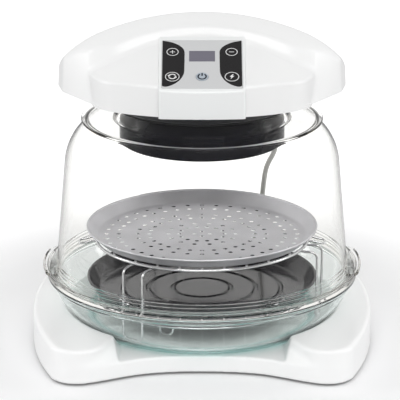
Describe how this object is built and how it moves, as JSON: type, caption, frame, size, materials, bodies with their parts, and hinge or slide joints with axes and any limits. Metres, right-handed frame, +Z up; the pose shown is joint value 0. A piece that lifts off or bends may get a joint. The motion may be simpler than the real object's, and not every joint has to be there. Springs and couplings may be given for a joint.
{
  "type": "halogen oven",
  "caption": "Countertop halogen oven: clear dome on a glass bowl in a tray, with two wire racks, a liner, a pan and a powered heater head with keys.",
  "frame": {"origin": "middle of the tray's footprint, on the surface that its feet stand on", "axes": "+Z up, the control panel faces -Y, +X is to the right of a person facing the panel"},
  "size_m": [0.444, 0.5052, 0.4283],
  "materials": {
    "white_plastic": "gloss",
    "foot_rubber": "matte",
    "screw_steel": "polished",
    "bowl_glass": "polished",
    "chromed_wire": "polished",
    "liner_enamel": "gloss enamel",
    "pan_metal": "satin",
    "dome_plastic": "polished",
    "seal_rubber": "matte",
    "white_plastic_satin": "satin",
    "overlay_film": "satin",
    "dark_film": "gloss",
    "display_lens": "polished",
    "display_glass": "gloss",
    "board_laminate": "satin",
    "electronic_parts": "satin",
    "laminations": "satin",
    "steatite": "matte",
    "coil_copper": "satin",
    "plate_steel": "satin",
    "fan_plastic": "matte",
    "fan_aluminium": "satin",
    "black_plastic": "gloss",
    "housing_enamel": "gloss enamel",
    "dish_steel": "polished",
    "quartz_tube": "polished",
    "plug_plastic": "satin",
    "cord_jacket": "matte",
    "plug_brass": "polished",
    "key_dark": "gloss",
    "key_light": "satin"
  },
  "bodies": {
    "base": {"base_tray": "white_plastic", "base_feet": "foot_rubber", "foot_screws": "screw_steel"},
    "bowl": {"glass_bowl": "bowl_glass"},
    "low_rack": {"low_rack_rings": "chromed_wire", "low_rack_bars": "chromed_wire", "low_rack_feet": "chromed_wire"},
    "liner": {"liner_pan": "liner_enamel"},
    "high_rack": {"high_rack_ring": "chromed_wire", "high_rack_bars": "chromed_wire", "high_rack_legs": "chromed_wire", "high_rack_handles": "chromed_wire"},
    "pan": {"pizza_pan": "pan_metal"},
    "dome": {"dome_cover": "dome_plastic"},
    "seal": {"neck_seal": "seal_rubber"},
    "fans": {"motor_shaft": "plate_steel", "cooling_fan": "fan_plastic", "convection_fan": "fan_aluminium", "fan_nut": "screw_steel"},
    "key_plus_body": {"key_plus": "key_dark"},
    "key_minus_body": {"key_minus": "key_dark"},
    "key_cycle_body": {"key_cycle": "key_dark"},
    "key_turbo_body": {"key_turbo": "key_dark"},
    "key_power_body": {"key_power": "key_light"},
    "head": {"head_top_shell": "white_plastic", "head_bottom_cover": "white_plastic_satin", "case_screws": "screw_steel", "control_fascia": "white_plastic", "keypad_overlay": "overlay_film", "overlay_dark_panels": "dark_film", "display_window": "display_lens", "display_module": "display_glass", "keypad_board": "board_laminate", "supply_board": "board_laminate", "board_components": "electronic_parts", "transformer": "laminations", "terminal_block": "steatite", "motor_stack": "laminations", "motor_coil": "coil_copper", "motor_end_plates": "plate_steel", "motor_bracket": "plate_steel", "motor_bolts": "screw_steel", "vent_ring": "black_plastic", "housing_screws": "screw_steel", "heater_housing": "housing_enamel", "heat_shield": "plate_steel", "reflector_dish": "dish_steel", "halogen_tube": "quartz_tube", "tube_end_caps": "steatite", "tube_clips": "plate_steel", "thermostat_probe": "plate_steel", "thermal_fuse": "steatite", "heater_grille": "dish_steel", "grille_screws": "screw_steel", "cord_gland": "plug_plastic", "power_cord": "cord_jacket", "cord_coil": "cord_jacket", "cord_tie": "cord_jacket", "power_plug": "plug_plastic", "plug_blades": "plug_brass"}
  },
  "joints": [
    {"name": "bowl_lift", "type": "slide", "parent": "base", "child": "bowl", "axis": [0, 0, 1], "range_m": [0, 0.08]},
    {"name": "low_rack_lift", "type": "slide", "parent": "bowl", "child": "low_rack", "axis": [0, 0, 1], "range_m": [0, 0.06]},
    {"name": "liner_lift", "type": "slide", "parent": "low_rack", "child": "liner", "axis": [0, 0, 1], "range_m": [0, 0.05]},
    {"name": "high_rack_lift", "type": "slide", "parent": "liner", "child": "high_rack", "axis": [0, 0, 1], "range_m": [0, 0.13]},
    {"name": "pan_lift", "type": "slide", "parent": "high_rack", "child": "pan", "axis": [0, 0, 1], "range_m": [0, 0.05]},
    {"name": "dome_lift", "type": "slide", "parent": "pan", "child": "dome", "axis": [0, 0, 1], "range_m": [0, 0.13]},
    {"name": "head_lift", "type": "slide", "parent": "dome", "child": "seal", "axis": [0, 0, 1], "range_m": [0, 0.08]},
    {"name": "head_twist", "type": "hinge", "parent": "seal", "child": "head", "pos_m": [0, 0, 0.328], "axis": [0, 0, 1], "range_deg": [0, 15]},
    {"name": "fan_spin", "type": "hinge", "parent": "head", "child": "fans", "pos_m": [0, 0, 0.3], "axis": [0, 0, 1], "continuous": true},
    {"name": "key_plus_press", "type": "slide", "parent": "head", "child": "key_plus_body", "axis": [0, 0.4305, -0.9026], "range_m": [0, 0.0005], "stiffness_N_per_m": 400},
    {"name": "key_minus_press", "type": "slide", "parent": "head", "child": "key_minus_body", "axis": [0, 0.4305, -0.9026], "range_m": [0, 0.0005], "stiffness_N_per_m": 400},
    {"name": "key_cycle_press", "type": "slide", "parent": "head", "child": "key_cycle_body", "axis": [0, 0.4305, -0.9026], "range_m": [0, 0.0005], "stiffness_N_per_m": 400},
    {"name": "key_turbo_press", "type": "slide", "parent": "head", "child": "key_turbo_body", "axis": [0, 0.4305, -0.9026], "range_m": [0, 0.0005], "stiffness_N_per_m": 400},
    {"name": "key_power_press", "type": "slide", "parent": "head", "child": "key_power_body", "axis": [0, 0.4305, -0.9026], "range_m": [0, 0.0005], "stiffness_N_per_m": 400}
  ]
}
